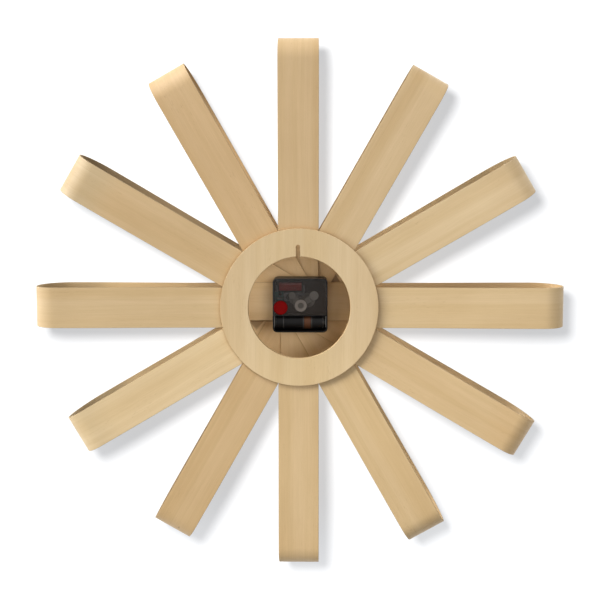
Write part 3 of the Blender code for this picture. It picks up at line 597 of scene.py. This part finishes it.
# ----------------------------------------------------------------- plastics
def plastic(name, colour, rough=0.4, grain=0.25, scale=2200.0, lift=0.000015, **values):
    """Moulded plastic with a fine sparked texture and faint flow marks."""
    m = Mat(name, **values)
    p = m.object_coords()
    sp = m.noise(p, scale, 3.0, 0.6)
    fl = m.noise(p, 90.0, 2.0, 0.5)
    dark = tuple(c * (1 - grain) for c in colour)
    light = tuple(min(1.0, c * (1 + grain)) for c in colour)
    c = m.mix(m.remap(fl, 0.3, 0.7), dark, light)
    c = m.mix(1.0, c, m.mix(m.remap(sp, 0.35, 0.65), (0.9, 0.9, 0.9), (1.1, 1.1, 1.1)), "MULTIPLY")
    m.colour(c)
    m.roughness(m.remap(m.math("ADD", m.math("MULTIPLY", sp, 0.5), m.math("MULTIPLY", fl, 0.5)),
                        0.3, 0.7, rough * 0.85, rough * 1.15))
    m.bump(sp, lift, 0.5)
    return m.m


def metal(name, colour, rough=0.3, brushed=None, scale=600.0, lift=0.000008):
    """Metal with fine marks, turned round the clock axis or drawn along X."""
    m = Mat(name, Metallic=1.0)
    x, y, z = m.split(m.object_coords())
    if brushed == "round":
        dx, dz = m.math("SUBTRACT", x, AXIS_X * MM), m.math("SUBTRACT", z, AXIS_Z * MM)
        r = m.math("SQRT", m.math("ADD", m.math("MULTIPLY", dx, dx), m.math("MULTIPLY", dz, dz)))
        vec = m.combine(m.math("MULTIPLY", r, 6000.0), m.math("MULTIPLY", y, 900.0), 0.0)
    elif brushed == "x":
        vec = m.combine(m.math("MULTIPLY", x, 120.0), m.math("MULTIPLY", y, 5200.0), m.math("MULTIPLY", z, 5200.0))
    else:
        vec = m.combine(m.math("MULTIPLY", x, scale), m.math("MULTIPLY", y, scale), m.math("MULTIPLY", z, scale))
    fine = m.noise(vec, 1.0, 3.0, 0.6)
    blot = m.noise(m.combine(m.math("MULTIPLY", x, 210.0), m.math("MULTIPLY", y, 210.0), m.math("MULTIPLY", z, 210.0)), 1.0, 3.0)
    c = m.mix(m.remap(fine, 0.3, 0.7), tuple(v * 0.86 for v in colour), tuple(min(1, v * 1.1) for v in colour))
    c = m.mix(m.remap(blot, 0.52, 0.75), c, tuple(v * 0.72 for v in colour))
    m.colour(c)
    m.roughness(m.remap(m.math("ADD", m.math("MULTIPLY", fine, 0.6), m.math("MULTIPLY", blot, 0.4)),
                        0.3, 0.7, rough * 0.7, rough * 1.4))
    m.bump(fine, lift, 0.6)
    return m.m


def battery_sleeve():
    """Printed sleeve in charcoal with plain bands; bare steel at both ends."""
    m = Mat("battery_sleeve")
    x, y, z = m.split(m.object_coords())
    xm = m.math("DIVIDE", m.math("SUBTRACT", x, AXIS_X * MM), MM)      # millimetres along the cell
    zone = m.math("GREATER_THAN", m.math("ABSOLUTE", m.math("ADD", xm, -0.75)), 23.9)
    sp = m.noise(m.object_coords(), 900.0, 3.0)
    base = m.mix(m.remap(sp, 0.3, 0.7), (0.0045, 0.0040, 0.0038), (0.008, 0.0072, 0.0068))
    band = m.math("LESS_THAN", m.math("ABSOLUTE", m.math("ADD", xm, 7.5)), 3.2)
    base = m.mix(band, base, (0.080, 0.030, 0.012))
    for at_x, w in ((-3.2, 0.25), (-11.8, 0.25), (17.0, 0.3)):
        line = m.math("LESS_THAN", m.math("ABSOLUTE", m.math("SUBTRACT", xm, at_x)), w)
        base = m.mix(line, base, (0.075, 0.072, 0.068))
    c = m.mix(zone, base, (0.17, 0.165, 0.155))
    m.b.inputs["Specular IOR Level"].default_value = 0.2
    m.colour(c)
    m.put(m.b.inputs["Metallic"], m.math("MULTIPLY", zone, 1.0))
    m.roughness(m.remap(sp, 0.3, 0.7, 0.42, 0.54))
    m.bump(sp, 0.00001, 0.3)
    return m.m


def wheel_plastic(name, colour, rough):
    """Thin moulded acetal, a little waxy."""
    m = Mat(name, Roughness=rough)
    m.b.inputs["Subsurface Weight"].default_value = 0.0
    p = m.object_coords()
    sp = m.noise(p, 1500.0, 3.0, 0.6)
    fl = m.noise(p, 160.0, 2.0)
    c = m.mix(m.remap(fl, 0.3, 0.7), tuple(v * 0.9 for v in colour), colour)
    c = m.mix(1.0, c, m.mix(m.remap(sp, 0.3, 0.7), (0.93, 0.93, 0.93), (1.04, 1.04, 1.04)), "MULTIPLY")
    m.colour(c)
    m.roughness(m.remap(sp, 0.3, 0.7, rough * 0.85, rough * 1.15))
    m.bump(sp, 0.00001, 0.4)
    return m.m


def smoke():
    """Smoky see-through plastic of the gear cover."""
    m = Mat("cover_smoke", Roughness=0.16, IOR=1.49)
    p = m.object_coords()
    sp = m.noise(p, 1800.0, 2.0, 0.6)
    fl = m.noise(p, 120.0, 3.0, 0.55)
    m.b.inputs["Specular IOR Level"].default_value = 0.3
    # the cover's side walls, seen end on round its rim, are darker
    x, y, z = m.split(p)
    side = m.math("SUBTRACT", m.math("ABSOLUTE", m.math("SUBTRACT", x, AXIS_X * MM)), 26.1 * MM)
    top = m.math("SUBTRACT", z, (AXIS_Z + 25.9) * MM)
    rim = m.remap(m.math("MAXIMUM", side, top), 0.0, 0.0007, smooth=True)
    c = m.mix(m.remap(fl, 0.3, 0.7), (0.027, 0.0195, 0.0140), (0.038, 0.0290, 0.0220))
    m.colour(m.mix(rim, c, (0.0075, 0.0050, 0.0036)))
    m.put(m.b.inputs["Alpha"], m.math("MAXIMUM", m.remap(fl, 0.3, 0.7, 0.50, 0.43), m.math("MULTIPLY", rim, 0.96)))
    m.roughness(m.remap(sp, 0.3, 0.7, 0.14, 0.24))
    m.bump(sp, 0.000008, 0.3)
    return m.m


def winding_mat():
    m = Mat("copper_wire", Metallic=0.15)
    x, y, z = m.split(m.object_coords())
    # painted highlight: the red coil is drawn in a lighter red along its top
    top = m.remap(z, (AXIS_Z + 20.3) * MM, (AXIS_Z + 21.6) * MM, smooth=True)
    t = m.noise(m.combine(m.math("MULTIPLY", x, 2600.0), m.math("MULTIPLY", y, 120.0), m.math("MULTIPLY", z, 120.0)), 1.0, 2.0)
    wire = m.mix(m.remap(t, 0.3, 0.7), (0.70, 0.014, 0.004), (0.94, 0.030, 0.008))
    tape_highlight = m.mix(m.remap(t, 0.3, 0.7), (0.94, 0.24, 0.23), (1.0, 0.34, 0.33))
    m.colour(m.mix(top, wire, tape_highlight))
    m.roughness(m.remap(t, 0.3, 0.7, 0.28, 0.42))
    m.bump(t, 0.00001, 0.4)
    return m.m


def board_mat():
    m = Mat("board_green")
    p = m.object_coords()
    x, y, z = m.split(p)
    sp = m.noise(p, 1400.0, 3.0)
    weave = m.noise(m.combine(m.math("MULTIPLY", x, 2500.0), 0.0, m.math("MULTIPLY", z, 2500.0)), 1.0, 1.0)
    c = m.mix(m.remap(sp, 0.3, 0.7), (0.020, 0.19, 0.17), (0.032, 0.27, 0.24))
    tr = m.add("TexBrick", offset=0.5, squash=1.0)
    m.put(tr.inputs["Vector"], m.combine(m.math("MULTIPLY", x, 420.0), m.math("MULTIPLY", z, 420.0), 0.0))
    tr.inputs["Scale"].default_value = 1.0
    tr.inputs["Mortar Size"].default_value = 0.05
    c = m.mix(m.math("MULTIPLY", tr.outputs["Fac"], 0.5), c, (0.035, 0.24, 0.19))
    m.colour(c)
    m.roughness(m.remap(weave, 0.3, 0.7, 0.3, 0.45))
    m.bump(m.math("ADD", weave, tr.outputs["Fac"]), 0.00002, 0.4)
    return m.m


CASE = plastic("case_black", (0.0045, 0.0038, 0.0034), 0.45, 0.3, Specular_IOR_Level=0.25)
PLATE = plastic("plate_grey", (0.040, 0.033, 0.027), 0.5, 0.2, Specular_IOR_Level=0.2)
BOBBIN = plastic("bobbin", (0.055, 0.045, 0.042), 0.45, 0.2)
KNOB = plastic("knob_red", (0.222, 0.0028, 0.0024), 0.42, 0.12, Specular_IOR_Level=0.05)
HAND = plastic("hand_black", (0.0095, 0.0095, 0.010), 0.42, 0.25, 1600.0)
RUBBER = plastic("rubber", (0.012, 0.012, 0.012), 0.8, 0.3, 1200.0, 0.00003)
CHIP = plastic("ic_black", (0.008, 0.008, 0.008), 0.25, 0.3)
ROTOR = metal("rotor_dark", (0.10, 0.10, 0.105), 0.35)
WHITE = wheel_plastic("wheel_white", (0.40, 0.36, 0.31), 0.42)
BLACKW = wheel_plastic("wheel_black", (0.02, 0.02, 0.02), 0.4)
BRASS = metal("brass", (0.72, 0.50, 0.20), 0.28, "round")
STEEL = metal("arbor_steel", (0.56, 0.56, 0.57), 0.26, "round")
CORE = metal("core_steel", (0.36, 0.36, 0.37), 0.36, "x")
NICKEL = metal("contact_nickel", (0.40, 0.385, 0.355), 0.34, "x")
CAN = metal("can_metal", (0.66, 0.65, 0.62), 0.22, "x")
COPPER = winding_mat()
SMOKE = smoke()
BOARD = board_mat()
SLEEVE = battery_sleeve()

LOOK = {
    "movement_case": CASE, "back_cover": SMOKE, "middle_plate": PLATE,
    "circuit_board": BOARD, "ic_chip": CHIP, "quartz_crystal": CAN,
    "coil_bobbin": BOBBIN, "coil_winding": COPPER, "coil_core": CORE, "stator": CORE,
    "contact_positive": NICKEL, "contact_negative": NICKEL,
    "rubber_washer": RUBBER, "brass_washer": BRASS, "hex_nut": BRASS, "hand_nut": BRASS,
    "minute_arbor": STEEL, "minute_hand": HAND, "hour_hand": HAND,
    "hour_wheel": WHITE, "second_wheel": WHITE, "intermediate_wheel": WHITE,
    "third_wheel": WHITE, "centre_wheel": WHITE, "reverser_wheel": BLACKW,
    "setting_knob": KNOB, "rotor": ROTOR, "battery": SLEEVE,
}
for node, look in LOOK.items():
    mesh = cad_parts[node].data
    mesh.materials.clear()
    mesh.materials.append(look)


# ---------------------------------------------------- finer pieces of movement
RIB = wheel_plastic("cover_rib", (0.052, 0.042, 0.033), 0.5)
RIB_DISC = wheel_plastic("cover_rib_disc", (0.068, 0.058, 0.048), 0.5)
RIB_HUB = wheel_plastic("cover_rib_hub", (0.150, 0.125, 0.105), 0.5)
THREAD = plastic("thread_black", (0.006, 0.006, 0.006), 0.35, 0.2)


def mesh_piece(name, bm, look, body):
    bmesh.ops.recalc_face_normals(bm, faces=bm.faces)
    mesh = bpy.data.meshes.new(name)
    bm.to_mesh(mesh)
    bm.free()
    for p in mesh.polygons:
        p.use_smooth = True
    mesh.set_sharp_from_angle(angle=math.radians(40))
    obj = bpy.data.objects.new(name, mesh)
    bpy.context.scene.collection.objects.link(obj)
    mesh.materials.append(look)
    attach(obj, body)
    return obj


def washer_mesh(bm, x, z, r_in, r_out, y0, y1, c=0.08, n=48):
    """Flat ring or disc with rounded-off rims, turned about a Y axis."""
    prof = [(r_out - c, y0), (r_out, y0 + c), (r_out, y1 - c), (r_out - c, y1)]
    if r_in > 0:
        prof += [(r_in + c, y1), (r_in, y1 - c), (r_in, y0 + c), (r_in + c, y0)]
    rows = []
    for i in range(n):
        a = 2 * math.pi * i / n
        rows.append([bm.verts.new(at(x + r * math.cos(a), y, z + r * math.sin(a))) for r, y in prof])
    m = len(prof)
    for i in range(n):
        r0, r1 = rows[i], rows[(i + 1) % n]
        for j in range(m if r_in > 0 else m - 1):
            k = (j + 1) % m
            bm.faces.new((r0[j], r0[k], r1[k], r1[j]))
    if r_in <= 0:
        bm.faces.new([row[0] for row in rows])
        bm.faces.new([row[-1] for row in rows])


def bar_mesh(bm, p, q, w0, w1, y0, y1, c=0.08):
    """Tapering flat rib between two points of the XZ plane."""
    p, q = Vector(p), Vector(q)
    t = (q - p).normalized()
    s = Vector((-t.y, t.x))
    rows = []
    for k in range(9):
        f = k / 8
        o, w = p.lerp(q, f), (w0 * (1 - f) + w1 * f) / 2
        rows.append([bm.verts.new(at(o.x + s.x * e, y, o.y + s.y * e)) for e, y in
                     ((-w + c, y0), (-w, y0 + c), (-w, y1 - c), (-w + c, y1),
                      (w - c, y1), (w, y1 - c), (w, y0 + c), (w - c, y0))])
    for r0, r1 in zip(rows, rows[1:]):
        for j in range(8):
            k = (j + 1) % 8
            bm.faces.new((r0[j], r0[k], r1[k], r1[j]))
    bm.faces.new(list(reversed(rows[0])))
    bm.faces.new(rows[-1])


# moulded stiffening on the rear face of the see-through cover
HUB, DISC_R, DISC_L = (-0.7, -0.2), (-14.1, 10.0), (8.0, 10.1)
bm = bmesh.new()
washer_mesh(bm, *HUB, 3.1, 6.1, -17.74, -17.46)
mesh_piece("cover_hub_ring", bm, RIB_HUB, "clock_body")
bm = bmesh.new()
washer_mesh(bm, *DISC_R, 0, 4.7, -17.74, -17.52)
washer_mesh(bm, *DISC_L, 0, 3.7, -17.74, -17.52)
mesh_piece("cover_rib_discs", bm, RIB_DISC, "clock_body")
bm = bmesh.new()
bar_mesh(bm, (-0.7 - 5.2, -0.2 + 4.0), (-14.1 + 3.9, 10.0 - 3.1), 5.6, 6.6, -17.74, -17.58)
bar_mesh(bm, (-0.7 + 3.9, -0.2 + 4.9), (8.0 - 2.2, 10.1 - 3.0), 5.6, 6.0, -17.74, -17.58)
washer_mesh(bm, *HUB, 0, 3.05, -17.74, -17.60)
mesh_piece("cover_ribs", bm, RIB, "clock_body")

# winding of single turns of wire round the bobbin
def winding_piece():
    """Rounded-rectangle rings of wire side by side, one per turn."""
    x0, x1, pitch = -1.45, 21.45, 0.42
    cy, cz, hy, hz, r = -23.9, 18.6, 4.15, 4.15, 1.2
    loop = []
    for kx, kz, a0 in ((1, 1, 0), (-1, 1, 90), (-1, -1, 180), (1, -1, 270)):
        for i in range(5):
            a = math.radians(a0 + 22.5 * i)
            loop.append((kx * (hy - r) + r * math.cos(a), kz * (hz - r) + r * math.sin(a),
                         math.cos(a), math.sin(a)))
    turns = int((x1 - x0) / pitch)
    bm = bmesh.new()
    rows = []
    for t in range(turns * 4 + 1):
        x = x0 + (x1 - x0) * t / (turns * 4)
        lift = (-0.10, -0.03, 0.0, -0.03)[t % 4]
        rows.append([bm.verts.new(at(x, cy + y + ny * lift, cz + z + nz * lift)) for y, z, ny, nz in loop])
    n = len(loop)
    for r0, r1 in zip(rows, rows[1:]):
        for j in range(n):
            k = (j + 1) % n
            bm.faces.new((r0[j], r0[k], r1[k], r1[j]))
    bm.faces.new(list(reversed(rows[0])))
    bm.faces.new(rows[-1])
    obj = mesh_piece("coil_turns", bm, COPPER, "clock_body")
    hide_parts("coil_winding")


winding_piece()

# thread on the bushing in front of the case
bm = bmesh.new()
rows, steps = [], 24
for t in range(int(2.0 / 0.5 * steps) + 1):
    a = 2 * math.pi * t / steps
    y = -47.05 - 0.5 * t / steps
    rows.append([bm.verts.new(at(r * math.cos(a), y + dy, r * math.sin(a)))
                 for r, dy in ((3.82, 0.2), (3.98, 0.04), (3.98, -0.04), (3.82, -0.2))])
for r0, r1 in zip(rows, rows[1:]):
    for j in range(3):
        bm.faces.new((r0[j], r0[j + 1], r1[j + 1], r1[j]))
mesh_piece("bushing_thread", bm, THREAD, "clock_body")

# softened corners; the CAD meshes themselves stay as they are
SOFT = {"movement_case": 0.3, "back_cover": 0.18, "setting_knob": 0.12, "brass_washer": 0.1,
        "hex_nut": 0.22, "hand_nut": 0.12, "hour_hand": 0.14, "minute_hand": 0.14,
        "rubber_washer": 0.15, "battery": 0.12, "coil_bobbin": 0.1, "quartz_crystal": 0.12}
for node, width in SOFT.items():
    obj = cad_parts[node]
    mod = obj.modifiers.new("soft_corners", "BEVEL")
    mod.width = width * MM
    mod.segments = 2
    mod.limit_method = "ANGLE"
    mod.angle_limit = math.radians(40)
    mod.use_clamp_overlap = True
    mod.harden_normals = False


# ------------------------------------------------------------------- camera
CAM = dict(cx=11.8286, cz=91.2896, d=450.0, rx=-0.0404, ry=0.0085, rz=0.0, f=463.3545,
           pu=307.792, pv=234.3389)


def photo_camera(c):
    """Camera from its place about the clock axis, three small turns, the
    focal length in pixels and the principal point of a 600 x 600 frame."""
    def rot(axis, a):
        return Matrix.Rotation(a, 3, axis)
    turn = rot("Z", c["rz"]) @ rot("Y", c["ry"]) @ rot("X", c["rx"])
    flip = Matrix(((-1, 0, 0), (0, 0, 1), (0, -1, 0)))
    rows = turn @ flip
    right, up, ahead = Vector(rows[0]), Vector(rows[1]), Vector(rows[2])
    data = bpy.data.cameras.new("camera")
    cam = bpy.data.objects.new("camera", data)
    bpy.context.scene.collection.objects.link(cam)
    m = Matrix((right, up, -ahead)).transposed().to_4x4()
    m.translation = Vector(((AXIS_X - c["cx"]) * MM, c["d"] * MM, (AXIS_Z + c["cz"]) * MM))
    cam.matrix_world = m
    data.sensor_fit = "HORIZONTAL"
    data.sensor_width = 36.0
    data.lens = c["f"] * 36.0 / 600.0
    data.shift_x = (300.0 - c["pu"]) / 600.0
    data.shift_y = (c["pv"] - 300.0) / 600.0
    data.clip_start, data.clip_end = 0.01, 50.0
    bpy.context.scene.camera = cam
    return cam


photo_camera(CAM)

# -------------------------------------------------------- backdrop and light
def backdrop():
    """Plain white sheet just in front of the hands, seen only from the wall
    side, so that the front can be looked at as well."""
    mesh = bpy.data.meshes.new("backdrop")
    s, y = 5.0, -0.0605
    mesh.from_pydata([(-s, y, -s), (s, y, -s), (s, y, s), (-s, y, s)], [], [(0, 3, 2, 1)])
    obj = bpy.data.objects.new("backdrop", mesh)
    bpy.context.scene.collection.objects.link(obj)
    m = bpy.data.materials.new("backdrop_white")
    m.use_nodes = True
    t = m.node_tree
    t.nodes.clear()
    out = t.nodes.new("ShaderNodeOutputMaterial")
    pick = t.nodes.new("ShaderNodeMixShader")
    geo = t.nodes.new("ShaderNodeNewGeometry")
    dif = t.nodes.new("ShaderNodeBsdfDiffuse")
    glow = t.nodes.new("ShaderNodeEmission")
    add = t.nodes.new("ShaderNodeAddShader")
    clear = t.nodes.new("ShaderNodeBsdfTransparent")
    dif.inputs["Color"].default_value = (0.20, 0.20, 0.20, 1)
    place = t.nodes.new("ShaderNodeTexCoord")
    length = t.nodes.new("ShaderNodeVectorMath")
    length.operation = "LENGTH"
    edge = t.nodes.new("ShaderNodeMapRange")
    edge.interpolation_type = "SMOOTHSTEP"
    for i, v in ((1, 0.28), (2, 0.48), (3, 0.575), (4, 0.90)):
        edge.inputs[i].default_value = v
    t.links.new(place.outputs["Object"], length.inputs[0])
    t.links.new(length.outputs["Value"], edge.inputs[0])
    t.links.new(edge.outputs[0], glow.inputs["Strength"])
    glow.inputs["Color"].default_value = (0.980, 0.995, 1.022, 1)
    t.links.new(dif.outputs[0], add.inputs[0])
    t.links.new(glow.outputs[0], add.inputs[1])
    t.links.new(geo.outputs["Backfacing"], pick.inputs[0])
    t.links.new(add.outputs[0], pick.inputs[1])
    t.links.new(clear.outputs[0], pick.inputs[2])
    t.links.new(pick.outputs[0], out.inputs[0])
    mesh.materials.append(m)
    obj.visible_shadow = False
    return obj


sheet = backdrop()


def lamp(name, kind, place, aim, power, size, colour=(1, 1, 1), constant=False):
    data = bpy.data.lights.new(name, kind)
    data.energy = power
    data.color = colour
    if kind == "AREA":
        data.shape = "DISK"
        data.size = size
    elif kind == "POINT":
        data.shadow_soft_size = size / 2
    obj = bpy.data.objects.new(name, data)
    bpy.context.scene.collection.objects.link(obj)
    obj.location = place
    obj.rotation_mode = "QUATERNION"
    obj.rotation_quaternion = (Vector(aim) - Vector(place)).to_track_quat("-Z", "Y")
    obj.visible_camera = False
    if constant:
        data.use_nodes = True
        t = data.node_tree
        emit = next(n for n in t.nodes if n.type == "EMISSION")
        fall = t.nodes.new("ShaderNodeLightFalloff")
        fall.inputs["Strength"].default_value = 1.0
        t.links.new(fall.outputs["Constant"], emit.inputs["Strength"])
    return obj


centre = Vector(at(0, -20, 0))
def sun(name, tilt, turn, strength, spread):
    """Far soft light.  It stands tilt degrees off the line from the clock to
    the wall side, towards the picture's angle turn, and spread is its width
    in degrees."""
    t, f = math.radians(tilt), math.radians(turn)
    data = bpy.data.lights.new(name, "SUN")
    data.energy = strength
    data.angle = math.radians(spread)
    obj = bpy.data.objects.new(name, data)
    bpy.context.scene.collection.objects.link(obj)
    way = Vector((-math.cos(f) * math.sin(t), math.cos(t), math.sin(f) * math.sin(t)))
    obj.rotation_mode = "QUATERNION"
    obj.rotation_quaternion = way.to_track_quat("Z", "Y")
    return obj


# raking light from the picture's left and upper left, which also comes in
# between the loops, and two fills from beside the camera
soft = [sun("rake_left", 76, 172, 1.76, 16), sun("rake_upper", 70, 150, 1.52, 18),
        sun("rake_top", 66, 120, 1.84, 20), sun("fill_right", 35, 22, 1.02, 30),
        sun("fill_front", 10, 180, 0.33, 30)]
# small lamp beside the camera that throws the soft shadow on the sheet
spot = lamp("shadow_lamp", "POINT", Vector(at(-12.3 + 111, 450, 90.1 + 103)), centre, 130.0, 0.135,
            constant=True)
# soft light on the clock's front, for the other views
front = lamp("front_box", "AREA", centre + Vector((-0.7, -1.2, 0.7)), centre, 10.0, 0.9)

only_sheet = bpy.data.collections.new("only_sheet")
only_sheet.objects.link(sheet)
spot.light_linking.receiver_collection = only_sheet
not_sheet = bpy.data.collections.new("not_sheet")
not_sheet.objects.link(sheet)
not_sheet.collection_objects[0].light_linking.link_state = "EXCLUDE"
for lit in soft:
    lit.light_linking.receiver_collection = not_sheet

world = bpy.data.worlds.new("world")
world.use_nodes = True
bg = world.node_tree.nodes["Background"]
bg.inputs["Color"].default_value = (1.0, 1.0, 1.0, 1)
bg.inputs["Strength"].default_value = 0.10
bpy.context.scene.world = world

scene = bpy.context.scene
scene.view_settings.view_transform = "Standard"
scene.view_settings.look = "None"
scene.view_settings.exposure = 0.0
scene.view_settings.gamma = 1.0
